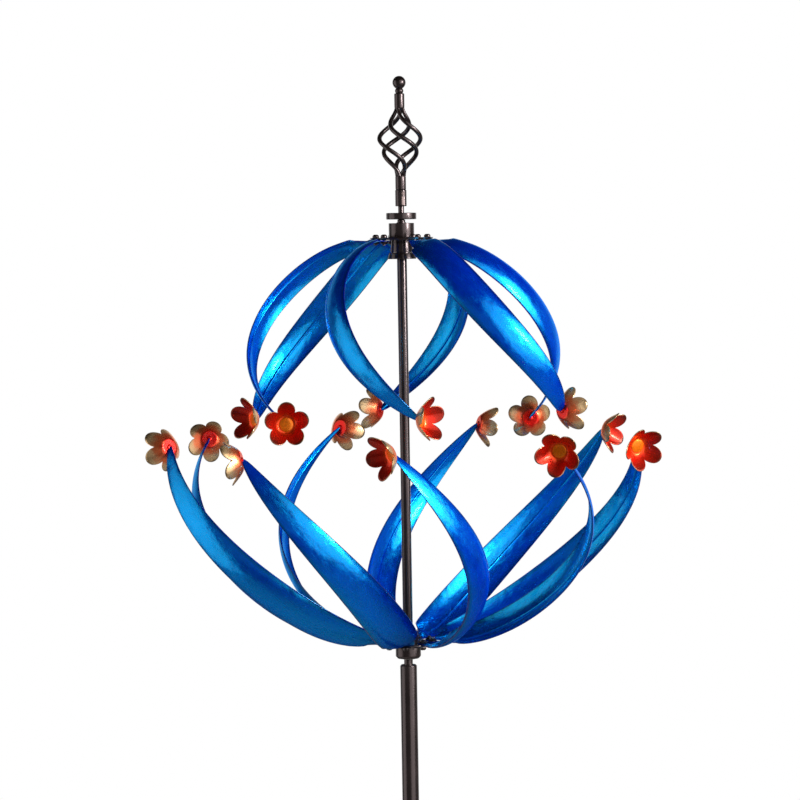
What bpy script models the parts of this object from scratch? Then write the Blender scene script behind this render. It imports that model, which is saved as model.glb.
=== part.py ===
"""Kinetic wind sculpture on a garden stake.

Two rotors of curved sheet-metal leaves, each leaf ending in a small cupped flower, turn on
their own ball bearings round one upright shaft. The upper rotor's six leaves hang like a dome
and the lower rotor's nine leaves rise like a bowl, and they sweep opposite ways, so the wind
turns the rotors against each other. Metres, +Z up, origin on the axis at ground level.
"""
import math

import bmesh
import bpy
from mathutils import Matrix, Vector

# ---------------------------------------------------------------- driving dimensions, metres
GAP = 0.0003            # between pieces that touch or are clamped together
SHEET = 0.0012          # leaf and flower sheet metal
SIDES = 20              # sides of a visible turned piece
INNER_SIDES = 16        # sides of a piece hidden inside a hub or a pole

# stake and poles
FOOT_THICK, FOOT_REACH, FOOT_WIDTH, PRONGS = 0.005, 0.100, 0.022, 3
PRONG_R, PRONG_LENGTH, PRONG_POINT, PRONG_PLACE = 0.005, 0.230, 0.040, 0.086
SOCKET_WALL, SOCKET_TOP = 0.0032, 0.085
POLE_R, POLE_WALL, POLE_SPLIT, POLE_TOP = 0.0100, 0.0015, 0.600, 1.2062
JOINER_WALL, JOINER_HALF = 0.0022, 0.055
BUSHING_LENGTH = 0.065
SHAFT_R, SHAFT_NECK_R, SHAFT_STUD_R = 0.0058, 0.0047, 0.0035
SHAFT_BOTTOM, SHAFT_SHOULDER, SHAFT_DISC_SEAT, SHAFT_TOP = 1.142, 1.7318, 1.7350, 1.7640
STOP_COLLAR_R, STOP_COLLAR_HEIGHT, RETAINING_RING_R = 0.0169, 0.0075, 0.0080

# hubs: each is a turned sleeve whose head is on one side of the flange and neck on the other
HUB_HEAD_R, HUB_NECK_R, HUB_BORE_R = 0.0151, 0.0124, 0.0110
FLANGE_THICK, FLANGE_RIM = 0.0030, 0.0012
BEARING_WIDTH, BEARING_RECESS, BALL_R, BALLS = 0.0040, 0.0007, 0.0009, 6
RACE_WALL, BALL_PITCH_R, CAGE_WALL, CAGE_HEIGHT = 0.0010, 0.0084, 0.0010, 0.0012

# leaf bolts
BOLT_R, BOLT_HEAD_R, BOLT_HEAD, BOLT_TAIL, BOLT_SIDES = 0.0020, 0.0039, 0.0027, 0.0015, 6
NUT_R, NUT_THICK = 0.0042, 0.0027
SET_SCREW_R, SET_SCREW_HEAD_R, SET_SCREW_HEAD = 0.0022, 0.0040, 0.0020

# finial
DISC_R, DISC_THICK = 0.0179, 0.0077
FERRULE_R, FERRULE_BOTTOM, FERRULE_TOP = 0.0067, 1.7508, 1.7698
STEM_R, STEM_TOP = 0.0063, 1.7885
CAGE_TOP, CAGE_BAR_R, CAGE_WAIST_R, CAGE_BELLY_R = 1.8645, 0.0027, 0.0040, 0.0250
CAGE_START, CAGE_TWIST, CAGE_BELLY_POWER, CAGE_STEPS = 64.0, 280.0, 1.74, 20
CAGE_WELD = 0.0020      # how far each bar runs into the stem and the neck
NECK_R, NECK_TOP = 0.0059, 1.8840
COLLAR_R, COLLAR_TOP = 0.0052, 1.8896
FINIAL_BALL_R, FINIAL_BALL_Z = 0.0079, 1.8967

# flowers
FLOWER_R, FLOWER_CUP, FLOWER_EYE_R, PETALS, PETAL_STEPS = 0.0260, 0.0180, 0.0095, 5, 4
PETAL_NOTCH, FLOWER_STANDOFF = 0.30, 0.0024

# One entry for each rotor. "side" is +1 where the leaves rise and -1 where they hang; angles in
# degrees. A leaf runs out from the hub and turns through "arc" in its own profile while it
# sweeps round the axis by "sweep"; "bank" tilts it across, from root to tip. Flowers face along
# the sweep, turned by "yaw", tilted up by "tilt" and with a petal "spin" away from upright.
# The leaves are bent by hand: "bent" turns each about the axis in degrees, and its tip then
# lies off the common line by "tip_out", "tip_round" and "tip_up" in millimetres.
UPPER = dict(
    name="upper", count=6, side=-1, flange_z=1.7110, flange_r=0.0376, bolt_r=0.0310,
    hub_head=0.0169, hub_neck=0.0144, tip_azimuth=338.0, tab_width=0.0120,
    root_r=0.0550, reach=0.1406, height=0.2054, arc=105.3, arc_ease=1.33, height_power=0.773,
    sweep=45.8, sweep_ease=2.40, bank=(24.0, 41.0), width=0.0382, widest=0.49, fullness=0.51,
    root_width=0.0090, yaw=-33.0, tilt=2.0, spin=0.0, bent=(3, -4, 0, 1, -1, -4),
    tip_out=(2, -4, 0, 1, -7, 0), tip_round=(1, 3, 1, 0, 16, 2), tip_up=(7, -10, -1, -4, -1, 5),
)
LOWER = dict(
    name="lower", count=9, side=+1, flange_z=1.2295, flange_r=0.0360, bolt_r=0.0295,
    hub_head=0.0158, hub_neck=0.0145, tip_azimuth=349.0, tab_width=0.0110,
    root_r=0.0589, reach=0.2188, height=0.2398, arc=92.0, arc_ease=2.20, height_power=0.774,
    sweep=38.0, sweep_ease=3.40, bank=(17.0, 50.0), width=0.0457, widest=0.52, fullness=0.69,
    root_width=0.0127, yaw=36.0, tilt=-13.0, spin=46.0, bent=(3, 0, 2, 2, 3, -6, -2, -1, 4),
    tip_out=(-3, 0, 0, -3, 4, 0, -5, 0, -5), tip_round=(0, 0, -1, -17, -17, 0, 5, -4, -16),
    tip_up=(-11, 0, 2, 0, -5, -5, -10, -2, -5),
)
TIP_WIDTH = 0.0024
CAMBER = 0.16           # depth of a leaf's hollow as a share of its half width
TAB_INNER_R = 0.0230
TAB_FLAT_R = 0.0385     # the tab lies flat on the flange out to here, then twists into its bank
ROOT_STEP = 0.0030      # and the leaf's root lies this much further from the flange
TIP_EASE = 5            # how late along the leaf its own bend of the tip sets in
LEAF_STEPS, LEAF_ACROSS = 11, 4

PARTS = "kinetic_wind_sculpture"
CUTTERS = "cutters"


# ---------------------------------------------------------------- scene, materials, helpers
def clear_scene():
    for item in list(bpy.data.objects):
        bpy.data.objects.remove(item)
    for name in (PARTS, CUTTERS):
        bpy.context.scene.collection.children.link(bpy.data.collections.new(name))


def paint(name, colour, roughness, metallic):
    material = bpy.data.materials.new(name)
    material.use_nodes = True
    shader = material.node_tree.nodes["Principled BSDF"]
    shader.inputs["Base Color"].default_value = (*colour, 1.0)
    shader.inputs["Roughness"].default_value = roughness
    shader.inputs["Metallic"].default_value = metallic
    material.diffuse_color = (*colour, 1.0)
    return material


def add_object(name, data, material, parent=None, collection=PARTS):
    item = bpy.data.objects.new(name, data)
    bpy.data.collections[collection].objects.link(item)
    if material:
        data.materials.clear()
        data.materials.append(material)
    item.parent = parent
    return item


def shade(mesh, angle=math.radians(40)):
    mesh.shade_smooth()
    mesh.set_sharp_from_angle(angle=angle)


def turned(name, profile, material, closed=True, sides=SIDES, parent=None):
    """A lathe piece round the Z axis. The profile is (radius, height) points that run down the
    outer side; a closed one is a ring, an open one starts and ends on the axis."""
    mesh = bpy.data.meshes.new(name)
    bm = bmesh.new()
    points = [bm.verts.new((radius, 0.0, height)) for radius, height in profile]
    for first, second in zip(points, points[1:]):
        bm.edges.new((first, second))
    if closed:
        bm.edges.new((points[-1], points[0]))
    bm.to_mesh(mesh)
    bm.free()
    item = add_object(name, mesh, material, parent)
    screw = item.modifiers.new("lathe", "SCREW")
    screw.axis = "Z"
    screw.angle = 2 * math.pi
    screw.steps = screw.render_steps = sides
    screw.use_merge_vertices = True
    screw.merge_threshold = 0.00001
    screw.use_smooth_shade = True
    return item


def ring(inner, outer, bottom, top, edge=0.0):
    """Profile of a round ring, with its outer edges broken by edge."""
    outside = [(outer, top), (outer, bottom)]
    if edge:
        outside = [(outer - edge, top), (outer, top - edge), (outer, bottom + edge), (outer - edge, bottom)]
    return outside + [(inner, bottom), (inner, top)]


def baked_mesh(item):
    """The object's evaluated mesh in world space; the object itself is removed."""
    bpy.context.view_layer.update()
    evaluated = item.evaluated_get(bpy.context.evaluated_depsgraph_get())
    mesh = bpy.data.meshes.new_from_object(evaluated)
    mesh.transform(item.matrix_world)
    bpy.data.objects.remove(item)
    return mesh


def helper(name, mesh, places=(Matrix.Identity(4),)):
    """A hidden mesh, copied to each place, that a Boolean cuts away from a piece or joins to it."""
    bm = bmesh.new()
    for place in places:
        copy = mesh.copy()
        copy.transform(place)
        bm.from_mesh(copy)
        bpy.data.meshes.remove(copy)
    result = bpy.data.meshes.new(name)
    bm.to_mesh(result)
    bm.free()
    item = add_object(name, result, None, collection=CUTTERS)
    item.hide_render = True
    item.display_type = "WIRE"
    return item


def boolean(item, other, operation="DIFFERENCE"):
    modifier = item.modifiers.new(operation.lower(), "BOOLEAN")
    modifier.operation = operation
    modifier.solver = "EXACT"
    modifier.object = other


def hole_cutter(name, radius, length, places):
    """Cylinders along each place's own Z axis."""
    bm = bmesh.new()
    bmesh.ops.create_cone(bm, cap_ends=True, segments=10, radius1=radius, radius2=radius, depth=length)
    mesh = bpy.data.meshes.new(name)
    bm.to_mesh(mesh)
    bm.free()
    return helper(name, mesh, places)


def around(count, start=0.0):
    """Azimuths in radians, evenly round the axis from start in degrees."""
    return [math.radians(start + 360.0 * index / count) for index in range(count)]


def radial(azimuth):
    return Vector((math.cos(azimuth), math.sin(azimuth), 0.0))


def backwards(radius, height):
    """A place on the back of the pole, whose own Z axis points outwards."""
    return Matrix.Translation((0.0, radius, height)) @ Matrix.Rotation(math.radians(-90), 4, "X")


# ---------------------------------------------------------------- stake, poles and shaft
def build_foot(bronze):
    """Three-armed step plate, a prong through a hole in each arm and the pole's socket on top."""
    half = FOOT_WIDTH / 2
    crotch = half / math.sin(math.pi / PRONGS)
    outline = bpy.data.curves.new("step_plate", "CURVE")
    outline.dimensions = "2D"
    outline.fill_mode = "BOTH"
    outline.extrude = FOOT_THICK / 2
    corners = []
    for turn in around(PRONGS):
        spin = Matrix.Rotation(turn, 3, "Z")
        corners += [spin @ Vector((FOOT_REACH, -half, 0.0)), spin @ Vector((FOOT_REACH, half, 0.0))]
        corners.append(crotch * radial(turn + math.pi / PRONGS))
    hole = [(PRONG_R + GAP) * radial(turn) for turn in around(INNER_SIDES)]
    places = [PRONG_PLACE * radial(turn) for turn in around(PRONGS)]
    for loop in [corners] + [[place + point for point in hole] for place in places]:
        spline = outline.splines.new("POLY")
        spline.points.add(len(loop) - 1)
        for point, corner in zip(spline.points, loop):
            point.co = (*corner, 1.0)
        spline.use_cyclic_u = True
    plate = add_object("step_plate", outline, bronze)
    plate.location.z = FOOT_THICK / 2

    for number, place in enumerate(places, start=1):
        prong = turned(f"ground_prong_{number}", [
            (0.0, FOOT_THICK), (PRONG_R, FOOT_THICK), (PRONG_R, PRONG_POINT - PRONG_LENGTH),
            (0.0010, -PRONG_LENGTH), (0.0, -PRONG_LENGTH),
        ], bronze, closed=False, sides=INNER_SIDES)
        prong.location = place

    inner = POLE_R + GAP
    return turned("pole_socket", ring(
        inner, inner + SOCKET_WALL, FOOT_THICK + GAP, SOCKET_TOP, 0.0008), bronze)


def build_poles(bronze, steel):
    """Two lengths of tube with a joiner inside, and a bushing that takes the thinner shaft."""
    bore = POLE_R - POLE_WALL
    turned("lower_pole", ring(bore, POLE_R, FOOT_THICK + 2 * GAP, POLE_SPLIT), bronze)
    high = turned("middle_pole", [
        (POLE_R - 0.0015, POLE_TOP), (POLE_R - 0.0004, POLE_TOP - 0.0005), (POLE_R, POLE_TOP - 0.0016),
        (POLE_R, POLE_SPLIT + GAP), (bore, POLE_SPLIT + GAP), (bore, POLE_TOP),
    ], bronze)
    plug = bore - GAP
    turned("pole_joiner", ring(
        plug - JOINER_WALL, plug, POLE_SPLIT - JOINER_HALF, POLE_SPLIT + JOINER_HALF), steel,
        sides=INNER_SIDES)
    turned("shaft_bushing", ring(
        SHAFT_R + GAP, plug, POLE_TOP - BUSHING_LENGTH, POLE_TOP - 0.0010), steel, sides=INNER_SIDES)
    return high


def build_shaft(bronze, steel):
    """The long shaft: full size up to the shoulder, then the necks that carry the disc and finial."""
    turned("main_shaft", [
        (0.0, SHAFT_TOP), (SHAFT_STUD_R, SHAFT_TOP), (SHAFT_STUD_R, SHAFT_DISC_SEAT),
        (SHAFT_NECK_R, SHAFT_DISC_SEAT), (SHAFT_NECK_R, SHAFT_SHOULDER), (SHAFT_R, SHAFT_SHOULDER),
        (SHAFT_R, SHAFT_BOTTOM), (0.0, SHAFT_BOTTOM),
    ], bronze, closed=False)
    hub_bottom = UPPER["flange_z"] - UPPER["hub_neck"] - GAP
    top, bottom = hub_bottom - GAP, hub_bottom - GAP - STOP_COLLAR_HEIGHT
    collar = turned("upper_stop_collar", [
        (HUB_NECK_R + 0.0010, top), (STOP_COLLAR_R, top - 0.0025), (STOP_COLLAR_R, bottom + 0.0005),
        (STOP_COLLAR_R - 0.0005, bottom), (SHAFT_R + GAP, bottom), (SHAFT_R + GAP, top),
    ], bronze)
    under = bearing_level(LOWER) - GAP
    turned("lower_retaining_ring", ring(
        SHAFT_R + GAP, RETAINING_RING_R, under - 0.0012, under), steel, sides=INNER_SIDES)
    return collar, (top + bottom) / 2 - 0.0008


def build_set_screws(steel, socket, pole, collar, collar_z):
    """Screws on the back that lock the pole in its socket, the shaft in the pole and the stop
    collar on the shaft. Each sits in a real hole and ends just short of what it bears on."""
    fixings = [
        ("socket_screw", socket, 0.060, POLE_R + GAP, POLE_R + GAP + SOCKET_WALL),
        ("shaft_screw", pole, POLE_TOP - 0.026, POLE_R - POLE_WALL, POLE_R),
        ("collar_screw", collar, collar_z, SHAFT_R + GAP, STOP_COLLAR_R),
    ]
    for name, tube, height, start, end in fixings:
        hole = hole_cutter(name + "_hole", SET_SCREW_R + GAP, 0.016, [backwards((start + end) / 2, height)])
        boolean(tube, hole)
        head = end + GAP
        screw = turned(name, [
            (0.0, head + SET_SCREW_HEAD), (SET_SCREW_HEAD_R * 0.7, head + SET_SCREW_HEAD),
            (SET_SCREW_HEAD_R, head + SET_SCREW_HEAD * 0.4), (SET_SCREW_HEAD_R, head),
            (SET_SCREW_R, head), (SET_SCREW_R, start), (0.0, start),
        ], steel, closed=False, sides=INNER_SIDES)
        screw.matrix_world = backwards(0.0, height)


def bearing_level(rotor):
    """Lower face of the hub's ball bearing, which sits in the open end of the hub's head."""
    low, high = hub_ends(rotor)
    if rotor["side"] < 0:
        return high - BEARING_RECESS - BEARING_WIDTH
    return low + BEARING_RECESS


def build_bearing(rotor, steel, pivot):
    """Ball bearing: inner ring and caged balls on the shaft, outer ring in the hub."""
    name, base = rotor["name"], bearing_level(rotor)
    middle = base + BEARING_WIDTH / 2
    inner = SHAFT_R + GAP
    turned(name + "_bearing_inner_ring", ring(inner, inner + RACE_WALL, base, base + BEARING_WIDTH), steel,
           sides=INNER_SIDES)
    cage = turned(name + "_bearing_cage", ring(
        BALL_PITCH_R - CAGE_WALL / 2, BALL_PITCH_R + CAGE_WALL / 2,
        middle - CAGE_HEIGHT / 2, middle + CAGE_HEIGHT / 2), steel, sides=INNER_SIDES)
    bm = bmesh.new()
    bmesh.ops.create_uvsphere(bm, u_segments=6, v_segments=4, radius=BALL_R)
    ball = bpy.data.meshes.new("ball")
    bm.to_mesh(ball)
    bm.free()
    places = [Matrix.Translation(BALL_PITCH_R * radial(angle) + Vector((0, 0, middle)))
              for angle in around(BALLS, 15.0)]
    boolean(cage, helper(name + "_balls", ball, places), "UNION")
    outer = HUB_BORE_R - GAP
    level = base - rotor["flange_z"]
    turned(name + "_bearing_outer_ring", ring(
        outer - RACE_WALL, outer, level, level + BEARING_WIDTH), steel, sides=INNER_SIDES, parent=pivot)


# ---------------------------------------------------------------- finial
def cage_bar(start):
    """Centreline of one bar of the twisted cage, from its top down."""
    points = []
    for index in range(CAGE_STEPS + 1):
        fraction = index / CAGE_STEPS
        belly = math.sin(math.pi * fraction) ** CAGE_BELLY_POWER
        radius = CAGE_WAIST_R + (CAGE_BELLY_R - CAGE_WAIST_R) * belly
        angle = start + math.radians(CAGE_TWIST) * fraction
        height = CAGE_TOP + CAGE_WELD - (CAGE_TOP - STEM_TOP + 2 * CAGE_WELD) * fraction
        points.append(radius * radial(angle) + Vector((0, 0, height)))
    return points


def build_cage(bronze):
    """Twisted cage: four bars welded into a stem below and a neck above, as one piece."""
    curve = bpy.data.curves.new("cage_bars", "CURVE")
    curve.dimensions = "3D"
    curve.bevel_depth = CAGE_BAR_R
    curve.bevel_resolution = 1
    curve.use_fill_caps = True
    for start in around(4, CAGE_START):
        line = cage_bar(start)
        spline = curve.splines.new("POLY")
        spline.points.add(len(line) - 1)
        for point, place in zip(spline.points, line):
            point.co = (*place, 1.0)
            waist = min(1.0, Vector(place[:2]).length / (3 * CAGE_WAIST_R))
            point.radius = 0.80 + 0.20 * waist
    bars = baked_mesh(add_object("cage_bars", curve, None, collection=CUTTERS))
    bm = bmesh.new()
    bm.from_mesh(bars)
    bmesh.ops.remove_doubles(bm, verts=bm.verts, dist=0.00001)
    bm.to_mesh(bars)
    bm.free()
    neck = baked_mesh(turned("neck", [
        (0.0, NECK_TOP), (NECK_R, NECK_TOP), (NECK_R, CAGE_TOP + 0.0012),
        (NECK_R - 0.0008, CAGE_TOP), (0.0, CAGE_TOP),
    ], bronze, closed=False))
    cage = turned("finial_cage", [
        (0.0, STEM_TOP), (STEM_R - 0.0008, STEM_TOP), (STEM_R, STEM_TOP - 0.0012),
        (STEM_R, FERRULE_TOP + GAP), (0.0, FERRULE_TOP + GAP),
    ], bronze, closed=False)
    boolean(cage, helper("cage_bars", bars), "UNION")
    boolean(cage, helper("cage_neck", neck), "UNION")


def build_finial(bronze):
    seat = SHAFT_DISC_SEAT + GAP
    hole = SHAFT_STUD_R + GAP
    turned("retaining_disc", ring(hole, DISC_R, seat, seat + DISC_THICK, 0.0006), bronze)
    turned("finial_ferrule", [
        (0.0, FERRULE_TOP), (FERRULE_R, FERRULE_TOP), (FERRULE_R, FERRULE_BOTTOM),
        (hole, FERRULE_BOTTOM), (hole, SHAFT_TOP + GAP), (0.0, SHAFT_TOP + GAP),
    ], bronze, closed=False)
    build_cage(bronze)
    middle = (NECK_TOP + COLLAR_TOP) / 2
    turned("finial_collar", [
        (0.0, COLLAR_TOP), (COLLAR_R - 0.0010, COLLAR_TOP), (COLLAR_R, middle),
        (COLLAR_R - 0.0010, NECK_TOP + GAP), (0.0, NECK_TOP + GAP),
    ], bronze, closed=False)
    flat = math.acos((FINIAL_BALL_Z - COLLAR_TOP - GAP) / FINIAL_BALL_R)
    arc = [(math.pi - flat) * index / 9 for index in range(10)]
    turned("finial_ball", [
        (FINIAL_BALL_R * math.sin(angle), FINIAL_BALL_Z + FINIAL_BALL_R * math.cos(angle)) for angle in arc
    ] + [(0.0, COLLAR_TOP + GAP)], bronze, closed=False)


# ---------------------------------------------------------------- rotors
def hub_ends(rotor):
    """Lowest and highest level of the hub sleeve: head and neck lie on opposite sides of the flange."""
    flange = rotor["flange_z"]
    if rotor["side"] < 0:
        return flange - rotor["hub_neck"], flange + FLANGE_THICK + rotor["hub_head"]
    return flange - rotor["hub_head"], flange + FLANGE_THICK + rotor["hub_neck"]


def leaf_line(rotor, t, bend):
    """Centreline of a leaf whose root lies at azimuth 0: radius, height and sweep angle at t.
    Its own bend is how far the tip lies out, round and up from the rotor's common line."""
    side = rotor["side"]
    arc = math.radians(rotor["arc"])
    turn = arc * t ** rotor["arc_ease"]
    radius = rotor["root_r"] + rotor["reach"] * math.sin(turn) / math.sin(min(arc, math.pi / 2))
    climbed = (1 - math.cos(turn)) / (1 - math.cos(arc))
    rise = ROOT_STEP + rotor["height"] * climbed ** rotor["height_power"]
    angle = -side * math.radians(rotor["sweep"]) * t ** rotor["sweep_ease"]
    share = t ** TIP_EASE
    out, around_axis, up = bend
    radius += share * out
    return radius, tab_level(rotor) + side * rise + share * up, angle + share * around_axis / radius


def tab_level(rotor):
    """Height of the middle of the tab's sheet, which lies on the flange's leaf side."""
    flange = rotor["flange_z"]
    if rotor["side"] < 0:
        return flange - GAP - SHEET / 2
    return flange + FLANGE_THICK + GAP + SHEET / 2


def leaf_frame(rotor, t, bend):
    """Point, tangent and outward normal of the leaf's centreline, before it is banked."""
    step = 0.0005
    lines = [leaf_line(rotor, value, bend) for value in (max(t - step, 0.0), t, min(t + step, 1.0))]
    before, point, after = (
        radius * radial(angle) + Vector((0, 0, height)) for radius, height, angle in lines)
    tangent = (after - before).normalized()
    outward = radial(lines[1][2]) * abs(after.z - before.z)
    outward.z = -rotor["side"] * (lines[2][0] - lines[0][0])
    return point, tangent, (outward - outward.dot(tangent) * tangent).normalized()


def leaf_width(rotor, t):
    widest, fullness = rotor["widest"], rotor["fullness"]
    taper = fullness * (1 - widest) / widest
    lens = (t / widest) ** fullness * ((1 - t) / (1 - widest)) ** taper
    return rotor["width"] * lens + rotor["root_width"] * (1 - t) ** 6 + TIP_WIDTH


def smooth(value):
    value = min(max(value, 0.0), 1.0)
    return value * value * (3 - 2 * value)


def leaf_stations(rotor, bend):
    """Cross-sections from the tab's inner end to the tip: point, tangent, normal, width, hollow."""
    up = Vector((0, 0, -rotor["side"]))
    out = Vector((1, 0, 0))
    root_width = leaf_width(rotor, 0.0)
    bank_start = math.radians(rotor["bank"][0])
    level = Vector((0, 0, tab_level(rotor)))
    stations = []
    for radius, share in ((TAB_INNER_R, 0.55), (TAB_INNER_R + 0.0030, 1.0), (TAB_FLAT_R, 1.0)):
        stations.append((radius * out + level, out, up, share * rotor["tab_width"], 0.0))
    halfway = (TAB_FLAT_R + rotor["root_r"]) / 2
    normal = Matrix.Rotation(0.4 * bank_start, 3, out) @ up
    step = Vector((0, 0, rotor["side"] * ROOT_STEP / 2))
    stations.append((halfway * out + level + step, out, normal, (rotor["tab_width"] + root_width) / 2, 0.2))
    for index in range(LEAF_STEPS):
        t = 0.02 + 0.98 * index / (LEAF_STEPS - 1)
        point, tangent, outward = leaf_frame(rotor, t, bend)
        bank = math.radians(rotor["bank"][0] + (rotor["bank"][1] - rotor["bank"][0]) * t)
        normal = Matrix.Rotation(bank, 3, tangent) @ outward
        stations.append((point, tangent, normal, leaf_width(rotor, t), 0.4 + 0.6 * smooth(t / 0.15)))
    return stations


def leaf_mesh(rotor, bend):
    """A flat grid of sheet metal, bent station by station into the leaf's curved, hollow form."""
    stations = leaf_stations(rotor, bend)
    bm = bmesh.new()
    bmesh.ops.create_grid(bm, x_segments=len(stations) - 1, y_segments=LEAF_ACROSS, size=1.0)
    for vert in bm.verts:
        index = round((vert.co.x + 1) / 2 * (len(stations) - 1))
        across = vert.co.y
        point, tangent, normal, width, hollow = stations[index]
        sideways = tangent.cross(normal)
        depth = CAMBER * hollow * width / 2 * across * across
        vert.co = point + sideways * (across * width / 2) - normal * depth
    mesh = bpy.data.meshes.new(rotor["name"] + "_leaf")
    bm.to_mesh(mesh)
    bm.free()
    shade(mesh, math.radians(60))
    return mesh


def flower_mesh():
    """A cupped flower of five round petals that opens along +Z, with a flat eye."""
    steps = PETALS * PETAL_STEPS
    bm = bmesh.new()
    bmesh.ops.create_circle(bm, cap_ends=False, segments=steps, radius=1.0)
    circles = [list(bm.verts)]
    for _ in range(2):
        circles.append([bm.verts.new(vert.co) for vert in circles[0]])
    for number, circle in enumerate(circles):
        spread = number / (len(circles) - 1)
        for vert in circle:
            azimuth = math.atan2(vert.co.y, vert.co.x)
            lobe = abs(math.cos(PETALS * azimuth / 2)) ** 0.55
            reach = FLOWER_EYE_R + (FLOWER_R - FLOWER_EYE_R) * spread
            reach *= 1 - PETAL_NOTCH * spread * (1 - lobe)
            climb = max(0.0, (reach - FLOWER_EYE_R) / (FLOWER_R - FLOWER_EYE_R))
            vert.co = (reach * math.cos(azimuth), reach * math.sin(azimuth), FLOWER_CUP * climb ** 1.35)
    for inner, outer in zip(circles, circles[1:]):
        for index in range(steps):
            after = (index + 1) % steps
            bm.faces.new((inner[index], outer[index], outer[after], inner[after]))
    bmesh.ops.contextual_create(bm, geom=circles[0])
    bmesh.ops.recalc_face_normals(bm, faces=bm.faces)
    mesh = bpy.data.meshes.new("flower")
    bm.to_mesh(mesh)
    bm.free()
    shade(mesh, math.radians(50))
    return mesh


def flower_turn(rotor, facing):
    """Rotation of a flower that faces that azimuth, apart from the rotor's yaw, tilt and spin."""
    facing += math.radians(rotor["yaw"])
    tilt, spin = math.radians(rotor["tilt"]), math.radians(rotor["spin"])
    axis = math.cos(tilt) * radial(facing) + Vector((0, 0, math.sin(tilt)))
    across = radial(facing + math.pi / 2)
    petal = math.cos(spin) * axis.cross(across) + math.sin(spin) * across
    return Matrix((petal, axis.cross(petal), axis)).transposed()


def thicken(item):
    solidify = item.modifiers.new("sheet", "SOLIDIFY")
    solidify.thickness = SHEET
    solidify.offset = 0.0


def build_hub(rotor, bronze, parent):
    """Sleeve of the hub: a bearing seat in the head's open end and a plain running bore beyond it."""
    low, high = (value - rotor["flange_z"] for value in hub_ends(rotor))
    bore = SHAFT_R + GAP
    depth = BEARING_RECESS + BEARING_WIDTH + GAP
    if rotor["side"] < 0:
        step = FLANGE_THICK + GAP
        profile = [
            (HUB_HEAD_R - 0.0006, high), (HUB_HEAD_R, high - 0.0006), (HUB_HEAD_R, step),
            (HUB_NECK_R, step), (HUB_NECK_R, low), (bore, low),
            (bore, high - depth), (HUB_BORE_R, high - depth), (HUB_BORE_R, high),
        ]
    else:
        profile = [
            (HUB_NECK_R, high), (HUB_NECK_R, -GAP), (HUB_HEAD_R, -GAP), (HUB_HEAD_R, low + 0.0025),
            (HUB_HEAD_R - 0.0012, low + 0.0006), (HUB_HEAD_R - 0.0025, low), (HUB_BORE_R, low),
            (HUB_BORE_R, low + depth), (bore, low + depth), (bore, high),
        ]
    turned(rotor["name"] + "_hub", profile, bronze, parent=parent)


def build_flange(rotor, roots, bronze, parent):
    """Round flange with its leaf bolts and nuts, in one piece. Returns the holes for the tabs."""
    outer, inner, inset = rotor["flange_r"], HUB_NECK_R + GAP, 0.0012
    if rotor["side"] < 0:
        profile = [(outer, FLANGE_THICK), (outer, FLANGE_THICK - FLANGE_RIM), (outer - inset, 0.0)]
    else:
        profile = [(outer - inset, FLANGE_THICK), (outer, FLANGE_RIM), (outer, 0.0)]
    profile += [(inner, 0.0), (inner, FLANGE_THICK)]
    flange = turned(rotor["name"] + "_flange", profile, bronze, parent=parent)

    top = FLANGE_THICK + BOLT_HEAD
    nut = -2 * GAP - SHEET
    bolt = baked_mesh(turned("bolt", [
        (0.0, top), (BOLT_HEAD_R * 0.7, top), (BOLT_HEAD_R, top - BOLT_HEAD * 0.55),
        (BOLT_HEAD_R, FLANGE_THICK / 2), (BOLT_R, FLANGE_THICK / 2), (BOLT_R, nut), (NUT_R, nut),
        (NUT_R, nut - NUT_THICK), (BOLT_R, nut - NUT_THICK), (BOLT_R, nut - NUT_THICK - BOLT_TAIL),
        (0.0, nut - NUT_THICK - BOLT_TAIL),
    ], bronze, closed=False, sides=BOLT_SIDES))
    if rotor["side"] > 0:
        bolt.transform(Matrix.Translation((0, 0, FLANGE_THICK)) @ Matrix.Rotation(math.pi, 4, "X"))
    place = Matrix.Translation((rotor["bolt_r"], 0, rotor["flange_z"]))
    places = [Matrix.Rotation(angle, 4, "Z") @ place for angle in roots]
    boolean(flange, helper(rotor["name"] + "_bolts", bolt, places), "UNION")
    return hole_cutter(rotor["name"] + "_bolt_holes", BOLT_R + GAP, 0.012, places)


def build_rotor(rotor, bronze, steel, blue, red, flower):
    """Hub, flange, leaves and flowers, all carried by an empty on the axis at the flange."""
    pivot = bpy.data.objects.new(rotor["name"] + "_rotor", None)
    bpy.data.collections[PARTS].objects.link(pivot)
    pivot.location.z = rotor["flange_z"]
    build_hub(rotor, bronze, pivot)
    build_bearing(rotor, steel, pivot)

    sweep = math.radians(rotor["sweep"]) * rotor["side"]
    tips = around(rotor["count"], rotor["tip_azimuth"])
    roots = [tip + sweep + math.radians(bent) for tip, bent in zip(tips, rotor["bent"])]
    holes = build_flange(rotor, roots, bronze, pivot)

    for index, root in enumerate(roots):
        bend = [0.001 * rotor[key][index] for key in ("tip_out", "tip_round", "tip_up")]
        sheet = leaf_mesh(rotor, bend)
        sheet.transform(Matrix.Translation((0, 0, -rotor["flange_z"])))
        leaf = add_object(f"{rotor['name']}_leaf_{index + 1}", sheet, blue, pivot)
        leaf.rotation_euler.z = root
        thicken(leaf)
        boolean(leaf, holes)

        tip_point, _, _ = leaf_frame(rotor, 1.0, bend)
        turn = flower_turn(rotor, root - sweep - rotor["side"] * math.pi / 2)
        place = Matrix.Rotation(root, 3, "Z") @ tip_point + turn @ Vector((0, 0, FLOWER_STANDOFF))
        blossom = add_object(f"{rotor['name']}_flower_{index + 1}", flower, red, pivot)
        blossom.location = place - pivot.location
        blossom.rotation_euler = turn.to_euler()
        thicken(blossom)


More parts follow.
